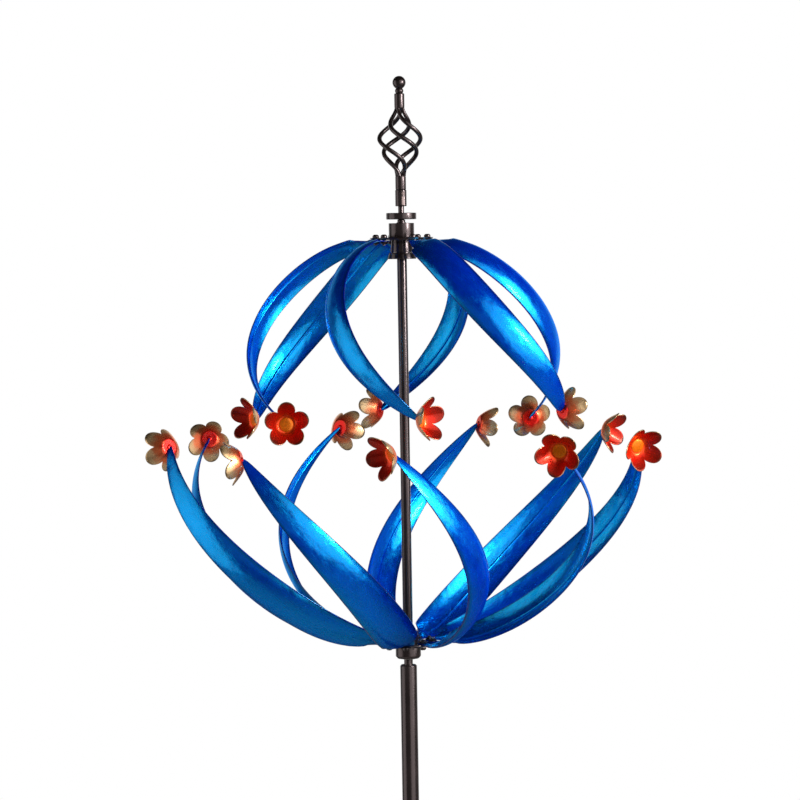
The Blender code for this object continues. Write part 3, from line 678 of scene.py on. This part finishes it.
# ---------------------------------------------------------------- hubs
def build_hub(name, bronze, steel):
    """Sleeve, flange with leaf screws and nuts, and the bearing's outer ring."""
    side, body = LEAVES[name]["side"], name + "_rotor"
    head, low, high = extent(name + "_hub")
    ring_r, ring_low, ring_high = extent(name + "_bearing_outer_ring")
    shaft = extent("main_shaft")[0] + GAP
    plate_r = extent(name + "_flange")[0]
    tab_low, tab_high = tab_place(f"{name}_leaf_1")[1:]
    neck, seat, plate = head - 0.0027, ring_r + GAP, 0.0030
    if side < 0:
        bottom = tab_high + GAP
        top = bottom + plate
        profile = [(head, high), (head, top + GAP), (neck, top + GAP), (neck, bottom - 0.0020),
                   (neck + 0.0012, low), (shaft, low),
                   (shaft, ring_low - GAP), (seat, ring_low - GAP), (seat, high)]
    else:
        top = tab_low - GAP
        bottom = top - plate
        profile = [(neck, high), (neck, bottom - GAP), (head, bottom - GAP), (head, low + 0.0030),
                   (head - 0.0026, low), (seat, low), (seat, ring_high + GAP), (shaft, ring_high + GAP),
                   (shaft, high)]
    lathe(name + "_sleeve", profile, bronze, [name + "_hub"], body, edge=0.0006)
    lathe(name + "_bearing_race", band(ring_r, ring_r - 0.0010, ring_low, ring_high), steel,
          [name + "_bearing_outer_ring"], body, edge=0.0002)

    inset = 0.0010
    rim = [(plate_r, top), (plate_r - inset, bottom)]
    if side > 0:
        rim = [(plate_r - inset, top), (plate_r, bottom)]
    disc = turned(rim + [(neck + GAP, bottom), (neck + GAP, top)], 0.0004, True)
    add_piece(name + "_plate", *disc, bronze, [name + "_flange"], body)
    screws = []
    for index in range(1, LEAVES[name]["count"] + 1):
        root = tab_place(f"{name}_leaf_{index}")[0]
        place = Matrix.Rotation(root, 4, "Z") @ Matrix.Translation((bolt_radius(name), 0, 0))
        flip = Matrix.Identity(4) if side < 0 else Matrix.Rotation(math.pi, 4, "X")
        face, back = (top, tab_low) if side < 0 else (-bottom, -tab_high)
        screws.append(moved(leaf_screw(face, back - GAP), place @ flip))
    add_piece(name + "_leaf_screws", *join(screws), bronze, [name + "_flange"], body)


def bolt_radius(name):
    """Distance of the leaf screws from the axis: they stand about 6.5 mm in from the flange's rim."""
    return extent(name + "_flange")[0] - (0.0066 if name == "upper" else 0.0065)


def leaf_screw(face, back):
    """A pan-head screw with a slot, standing on the flange at face, and its nut under back."""
    slot_half, slot_depth, shoulder = 0.0006, 0.0010, face + 0.0024
    head = turned([
        (0.0, face + 0.0039), (0.0022, face + 0.0037), (0.0038, shoulder), (0.0040, face), (0.0, face)],
        0.0006, sides=32)
    for vert in head[0]:
        if abs(vert.y) < slot_half and vert.z > shoulder:
            vert.z -= slot_depth
    shank = revolve([(0.0020, face), (0.0020, back - 0.0041), (0.0, back - 0.0046)], False, 24)
    nut_profile = soften([
        (0.0044, back - 0.0003), (0.0044, back - 0.0024), (0.0036, back - 0.0027), (0.0021, back - 0.0027),
        (0.0021, back), (0.0036, back)], 0.0002)
    nut = revolve(nut_profile, True, 48, lambda index, angle: (
        hexagon(angle) if nut_profile[index][0] > 0.0030 else 1.0))
    washer = revolve(band(0.0048, 0.0021, back - 0.0005, back + 0.0001), True, 32)
    return join([head, shank, nut, washer])


# ---------------------------------------------------------------- stand
def build_bearing_core(name, steel):
    """Inner ring and caged balls, which stay with the shaft."""
    ring_r, low, high = extent(name + "_bearing_inner_ring")
    bore = extent("main_shaft")[0] + GAP
    middle = (low + high) / 2
    groove, groove_half = 0.0003, 0.0008
    lathe(name + "_inner_race", [
        (ring_r, high), (ring_r, middle + groove_half), (ring_r - groove, middle),
        (ring_r, middle - groove_half), (ring_r, low), (bore, low), (bore, high)],
        steel, [name + "_bearing_inner_ring"], edge=0.0002)
    _, cage_low, cage_high = extent(name + "_bearing_cage")
    pitch, ball, count, first = 0.0084, (cage_high - cage_low) / 2, 6, 15.0
    wide, tall = 0.0005, 0.0006
    cage = revolve(band(pitch + wide, pitch - wide, middle - tall, middle + tall), True, 64)
    arc = [math.pi * step / 10 for step in range(11)]
    sphere = revolve([(ball * math.sin(angle), ball * math.cos(angle)) for angle in arc], False, 20)
    balls = []
    for step in range(count):
        place = pitch * radial(math.radians(first + 360 / count * step)) + Vector((0, 0, middle))
        balls.append(moved(sphere, Matrix.Translation(place)))
    add_piece(name + "_ball_cage", *join([cage] + balls), steel, [name + "_bearing_cage"])


def build_finial(bronze):
    """Disc, ferrule with its latch, twisted cage, collar and ball."""
    stud = 0.0038
    disc_r, low, high = extent("retaining_disc")
    lathe("top_disc", band(disc_r, stud, low, high), bronze, ["retaining_disc"], edge=0.0009)
    ferrule_r, low, high = extent("finial_ferrule")
    shaft_top = extent("main_shaft")[2]
    lathe("ferrule", [
        (0.0, high + GAP), (ferrule_r, high + GAP), (ferrule_r, low), (stud, low), (stud, shaft_top + GAP),
        (0.0, shaft_top + GAP)], bronze, ["finial_ferrule"], closed=False, edge=0.0006)
    build_latch(bronze, ferrule_r, low, high)

    _, low, high = extent("finial_cage")
    bars_low, bars_high = low + 0.0184, high - 0.0195
    bars = [tube(*cage_bar(math.radians(64.0 + 90 * index), bars_low, bars_high)) for index in range(4)]
    add_piece("cage_bars", *join(bars), bronze, ["finial_cage"], sharp=60)
    for name, radius, end, root, inward in (("cage_stem", 0.0063, low, bars_low, 1),
                                            ("cage_neck", 0.0060, high, bars_high, -1)):
        profile = [(0.0, root + inward * 0.0008), (radius * 0.55, root + inward * 0.0006),
                   (radius, root - inward * 0.0022), (radius, end), (0.0, end)]
        lathe(name, profile[::inward], bronze, ["finial_cage"], closed=False, edge=0.0012)
    collar_r, low, high = extent("finial_collar")
    lathe("ball_collar", [
        (0.0, high + GAP), (collar_r - 0.0010, high + GAP), (collar_r, (low + high) / 2),
        (collar_r - 0.0010, low - GAP), (0.0, low - GAP)],
        bronze, ["finial_collar"], closed=False, edge=0.0010)
    ball_r, low, high = extent("finial_ball")
    centre = high - ball_r
    flat = math.acos((centre - low) / ball_r)
    arc = [(math.pi - flat) * step / 40 for step in range(41)]
    profile = [(ball_r * math.sin(angle), centre + ball_r * math.cos(angle)) for angle in arc] + [(0.0, low)]
    add_piece("top_ball", *revolve(profile, False), bronze, ["finial_ball"])


def build_latch(bronze, radius, low, high):
    """The latch on the ferrule's front right: a plate, a tongue on it and a rivet over that, the tongue and
    the rivet painted lighter as a painted highlight.
    """
    # The tongue and the rivet get a lighter bronze, which is a painted highlight.
    turn, highlight_paint = math.radians(290), ("dark_bronze", [bronze_paint("bronze_painted_highlight", (0.30, 0.22, 0.20))])
    plate = latch(radius, turn, 31, low + 0.0004, high - 0.0002, 0.0008)
    add_piece("ferrule_latch", *plate, bronze)
    tongue = latch(radius, turn, 15, low + 0.0010, high - 0.0068, 0.0014)
    add_piece("latch_tongue", *tongue, highlight_paint)
    dome = revolve([(0.0, 0.0015), (0.0013, 0.0011), (0.0020, 0.0004), (0.0021, -0.0003), (0.0, -0.0003)],
                   False, 32)
    outward = radial(turn).to_track_quat("Z", "Y").to_matrix().to_4x4()
    place = Matrix.Translation((radius + 0.0007) * radial(turn) + Vector((0, 0, high - 0.0040)))
    add_piece("latch_rivet", *moved(dome, place @ outward), highlight_paint)


def latch(radius, middle, spread, low, high, proud):
    """A round-topped plate bent round the ferrule. Spread is from its middle to its sides, in degrees."""
    columns, rows, half, sunk = 10, 24, math.radians(spread), 0.0002
    verts, faces = [], []
    top = high - radius * half
    for layer in (-sunk, proud):
        for row in range(rows + 1):
            height = low + (high - low) * row / rows
            over = max(0.0, (height - top) / (high - top))
            reach = half * math.sqrt(max(0.0, 1 - over * over)) * (1 if row else 0.94)
            for column in range(columns + 1):
                share = 2 * column / columns - 1
                border = abs(share) == 1 or row in (0, rows)
                bevel = proud * 0.5 if border and layer > 0 else 0.0
                verts.append((radius + layer - bevel) * radial(middle + reach * share)
                             + Vector((0, 0, height)))
    width = columns + 1
    count = width * (rows + 1)
    for row in range(rows):
        for column in range(columns):
            corner = row * width + column
            back = [corner, corner + width, corner + width + 1, corner + 1]
            faces += [back, [count + index for index in (back[0], back[3], back[2], back[1])]]
    border = list(range(width)) + [row * width + columns for row in range(1, rows + 1)]
    border += [rows * width + column for column in range(columns - 1, -1, -1)]
    border += [row * width for row in range(rows - 1, 0, -1)]
    for first, second in zip(border, border[1:] + border[:1]):
        faces.append([first, second, second + count, first + count])
    return verts, faces


def cage_bar(start, low, high):
    """One twisted bar of the finial from its top down: its centreline, and its radius along it."""
    waist, belly, twist, weld = 0.0040, 0.0250, math.radians(280.0), 0.0020
    line, radii = [], []
    steps = 110
    for step in range(steps + 1):
        share = step / steps
        reach = waist + (belly - waist) * math.sin(math.pi * share) ** 1.74
        height = high + weld - (high - low + 2 * weld) * share
        line.append(reach * radial(start + twist * share) + Vector((0, 0, height)))
        radii.append(0.0027 * (0.80 + 0.20 * min(1.0, reach / (3 * waist))))
    return line, radii


def back_screw(name, node, steel):
    """A hexagon-socket set screw on the +Y side, in the place of the frame's own."""
    low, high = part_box(node)
    centre = (low.z + high.z) / 2
    head, start, end = (high.x - low.x) / 2, low.y, high.y
    shank, point, tall = 0.0022, 0.0006, 0.0020
    socket, mouth, deep = 0.0016, 0.0018, 0.0012
    profile = soften([
        (0.0, end - deep), (socket, end - deep), (mouth, end), (head * 0.78, end),
        (head, end - tall * 0.6), (head, end - tall), (shank, end - tall), (shank, start + point),
        (shank - point, start), (0.0, start)], 0.0002, closed=False)

    def six_sided(index, angle):
        radius, height = profile[index]
        in_socket = 0 < radius < mouth + 0.0001 and height > end - deep - 0.0003
        return hexagon(angle) if in_socket else 1.0

    shape = revolve(profile, False, 48, six_sided)
    turn = Matrix.Translation((0, 0, centre)) @ Matrix.Rotation(math.radians(-90), 4, "X")
    add_piece(name, *moved(shape, turn), steel, [node])


def build_shaft(bronze, steel):
    """Shaft with its turned-down stud and its waist above the pole, and the rings fixed to it."""
    shaft_r, low, high = extent("main_shaft")
    _, disc_low, _ = extent("retaining_disc")
    disc_seat, shoulder, neck, stud = disc_low - GAP, disc_low - 0.0035, 0.0047, 0.0035
    waist, taper = 0.0052, 0.0012
    waist_low, waist_high = extent("middle_pole")[2] - 0.0015, extent("lower_hub")[1] - 0.0002
    lathe("long_shaft", [
        (0.0, high), (stud, high), (stud, disc_seat), (neck, disc_seat), (neck, shoulder),
        (shaft_r, shoulder), (shaft_r, waist_high), (waist, waist_high - taper),
        (waist, waist_low + taper), (shaft_r, waist_low), (shaft_r, low), (0.0, low)],
        bronze, ["main_shaft"], closed=False, edge=0.0006)
    collar_r, low, high = extent("upper_stop_collar")
    lip, lip_r, top = extent("upper_hub")[1] - GAP / 2, collar_r - 0.0042, high - 0.0004
    lathe("stop_ring", [
        (lip_r, lip), (lip_r, top), (collar_r - 0.0018, top), (collar_r, low + 0.0012), (collar_r, low),
        (shaft_r + GAP, low), (shaft_r + GAP, lip)],
        bronze, ["upper_stop_collar"], edge=0.0002)
    ring_r, low, high = extent("lower_retaining_ring")
    lathe("retaining_clip", band(ring_r, shaft_r + GAP, low, high), steel, ["lower_retaining_ring"],
          edge=0.0002)


def build_poles(bronze, steel, weld):
    """Poles, joiner, bushing and the socket with its weld."""
    bore = 0.0085
    pole_r, low, high = extent("lower_pole")
    lathe("pole_below", band(pole_r, bore, low, high), bronze, ["lower_pole"], edge=0.0004)
    pole_r, low, high = extent("middle_pole")
    lathe("pole_above", [
        (bore, high - 0.0002), (pole_r - 0.0012, high), (pole_r, high - 0.0014), (pole_r, low), (bore, low)],
        bronze, ["middle_pole"], edge=0.0005)
    for name, node, inner in (("joiner_tube", "pole_joiner", extent("pole_joiner")[0] - 0.0022),
                              ("shaft_sleeve", "shaft_bushing", extent("main_shaft")[0] + GAP)):
        reach, low, high = extent(node)
        lathe(name, band(reach, inner, low, high), steel, [node], edge=0.0005)
    socket_r, low, high = extent("pole_socket")
    lathe("socket_tube", band(socket_r, pole_r + GAP, low, high), bronze, ["pole_socket"], edge=0.0009)
    bead = weld_bead(socket_r + 0.0004, low - GAP + 0.0006, 0.0022)
    add_piece("socket_weld", *bead, weld)


def weld_bead(radius, height, size, centre=Vector((0, 0, 0)), ripples=26):
    """A rippled ring of weld metal round a post; size is the radius of its section."""
    sides, verts, faces = 12, [], []
    turns = ripples * 6
    for turn in range(turns):
        angle = 2 * math.pi * turn / turns
        swell = size * (1 + 0.10 * math.sin(ripples * angle))
        for side in range(sides):
            around = 2 * math.pi * side / sides
            reach = radius + swell * math.cos(around)
            verts.append(centre + reach * radial(angle) + Vector((0, 0, height + swell * math.sin(around))))
    for turn in range(turns):
        for side in range(sides):
            after = (side + 1) % sides
            start, end = turn * sides, (turn + 1) % turns * sides
            faces.append([start + side, end + side, end + after, start + after])
    return verts, faces


def build_foot(bronze, weld):
    """Three-armed step plate with rounded arms, and the prongs welded under it."""
    low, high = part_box("step_plate")
    reach, width, arms = high.x, 0.0220, 3
    outline = []
    for arm in range(arms):
        turn = 2 * math.pi * arm / arms
        spin = Matrix.Rotation(turn, 3, "Z")
        for share in (-1, 1):
            outline.append(spin @ Vector((reach, share * width / 2, 0)))
        outline.append(width / 2 / math.sin(math.pi / arms) * radial(turn + math.pi / arms))
    outline = soften(outline, 0.0060, steps=6)
    edge = 0.0008
    verts = []
    for height, inset in ((low.z, edge), (low.z + edge, 0.0), (high.z - edge, 0.0), (high.z, edge)):
        verts += [point * (1 - inset / point.length) + Vector((0, 0, height)) for point in outline]
    add_piece("foot_plate", verts, loft(4, len(outline)), bronze, ["step_plate"])
    for number in range(1, arms + 1):
        node = f"ground_prong_{number}"
        low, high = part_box(node)
        centre = Vector(((low.x + high.x) / 2, (low.y + high.y) / 2, 0))
        prong_r, point_r, point_long = (high.x - low.x) / 2, 0.0010, 0.040
        prong = turned([
            (0.0, high.z), (prong_r, high.z), (prong_r, low.z + point_long), (point_r, low.z), (0.0, low.z)],
            0.0012, sides=48)
        add_piece(f"prong_{number}", *moved(prong, Matrix.Translation(centre)), bronze, [node])
        add_piece(f"prong_weld_{number}", *weld_bead(prong_r + 0.0002, high.z - 0.0008, 0.0016, centre, 16),
                  weld)


# ---------------------------------------------------------------- studio
def aimed(name, data, place, target, lean=0.0):
    """A camera or lamp at place, pointed at target."""
    item = bpy.data.objects.new(name, data)
    bpy.context.scene.collection.objects.link(item)
    turn = (target - place).to_track_quat("-Z", "Y").to_matrix().to_4x4()
    item.matrix_world = Matrix.Translation(place) @ turn @ Matrix.Rotation(lean, 4, "Z")
    return item


def add_camera():
    """Level with the upper flange, well back, tipped down a little and leaning a degree."""
    data = bpy.data.cameras.new("view")
    data.lens, data.sensor_width = 157.5, 36.0
    place, target = Vector((-0.005, -4.147, 1.711)), Vector((-0.005, 0.0, 1.5214))
    bpy.context.scene.camera = aimed("view", data, place, target, lean=math.radians(-0.94))


def softbox(name, azimuth, height, distance, size, glow, spread):
    """A rectangular lamp facing the rotors. Azimuth is from the viewer towards the right, in degrees.
    Glow is how bright its face looks, so its power goes with its area and with its beam's spread."""
    data = bpy.data.lights.new(name, "AREA")
    data.shape = "RECTANGLE"
    data.size, data.size_y = size
    data.spread = math.radians(spread)
    beam = data.spread / 2
    data.energy = glow * math.pi * size[0] * size[1] * (1 - beam / math.tan(beam))
    place = distance * radial(math.radians(azimuth - 90)) + Vector((0, 0, height))
    aimed(name, data, place, Vector((0, 0, ROTORS_LEVEL)))


def build_world():
    """A white sweep behind the object that darkens overhead and towards the viewer's side."""
    nodes = Nodes("studio", world=True)
    bpy.context.scene.world = nodes.owner
    way = nodes.add("SeparateXYZ", Vector=nodes.add("TexCoord").outputs["Generated"]).outputs
    overhead = nodes.ramp(way["Z"], (0.16, 1.0), (0.50, 0.10))
    around = nodes.ramp(way["Y"], (0.58, 0.15), (0.97, 1.0))
    nodes.feed("Color", nodes.mix(1.0, overhead, around, "MULTIPLY"))


def build_studio(floor_level):
    """A pale floor, three soft lamps on the right, each smaller and brighter, and a dim one on the left."""
    build_world()
    mesh = bpy.data.meshes.new("floor")
    bm = bmesh.new()
    bmesh.ops.create_circle(bm, cap_ends=True, segments=128, radius=5.5)
    bm.to_mesh(mesh)
    bm.free()
    floor = bpy.data.objects.new("floor", mesh)
    floor.location.z = floor_level
    bpy.context.scene.collection.objects.link(floor)
    nodes = Nodes("pale_floor")
    tone = nodes.ramp(nodes.noise(1.5), (0.3, (0.80, 0.80, 0.80)), (0.7, (0.84, 0.84, 0.83)))
    nodes.feed("Base Color", tone)
    nodes.set(Roughness=0.8)
    mesh.materials.append(nodes.owner)

    softbox("key_wide", 42, 2.00, 2.6, (3.2, 4.0), 1.9, 110)
    softbox("key_core", 70, 2.10, 2.4, (1.5, 2.1), 4.0, 90)
    softbox("key_heart", 57, 2.15, 2.1, (0.48, 0.60), 44.0, 80)
    softbox("left_wide", -80, 1.35, 2.2, (2.0, 3.7), 1.25, 135)


def main():
    bpy.context.scene.view_settings.view_transform = "Standard"
    add_camera()
    build_studio(CAD_BOX[0].z)

    bronze, steel = ("dark_bronze", [bronze_paint()]), ("zinc_steel", [zinc_steel()])
    weld = ("dark_bronze", [weld_metal()])
    # Both leaf lacquers: the root colour is darker as painted shade near the hub, and the edge colour is
    # painted shade towards the rims as well as the darker patches and strokes.
    outer = leaf_lacquer("blue_lacquer_outside", (0.0, 0.010, 0.32), (0.0, 0.026, 0.66), (0.0, 0.034, 0.70),
                         (0.0, 0.003, 0.15), (0.006, 0.46, 0.96))
    # The inside's greener blue is a painted reflection of the bright surroundings.
    inner = leaf_lacquer("blue_lacquer_inside", (0.0, 0.014, 0.38), (0.0, 0.040, 0.66), (0.0, 0.045, 0.66),
                         (0.0, 0.006, 0.13), (0.006, 0.50, 0.94))
    lacquers = ("candy_blue", [outer, inner, rim_lacquer()])
    inside = petal_lacquer("petal_inside", (1.0, 0.080, 0.004), (0.72, 0.016, 0.004), (0.46, 0.018, 0.008),
                           (0.16, 0.022, 0.012), 0.62)
    outside = petal_lacquer("petal_outside", (0.85, 0.008, 0.006), (0.86, 0.18, 0.060), (0.80, 0.53, 0.27),
                            (0.26, 0.17, 0.08), 0.70)
    middle = petal_lacquer("eye_lacquer", (1.0, 0.22, 0.004), (1.0, 0.16, 0.006), (0.90, 0.08, 0.008),
                           (0.5, 0.07, 0.015), 0.5)
    petals, eye, rivet = (("red_copper", paints) for paints in ([inside, outside], [middle], [outside]))

    build_foot(bronze, weld)
    build_poles(bronze, steel, weld)
    build_shaft(bronze, steel)
    build_finial(bronze)
    for name, node in (("socket_fixing", "socket_screw"), ("shaft_fixing", "shaft_screw"),
                       ("ring_fixing", "collar_screw")):
        back_screw(name, node, steel)
    sheet = flower_sheet()
    for name, rotor in LEAVES.items():
        build_hub(name, bronze, steel)
        build_bearing_core(name, steel)
        for index in range(1, rotor["count"] + 1):
            place = build_leaf(name, index, lacquers)
            build_flower(name, index, place, petals, eye, rivet, sheet)


main()
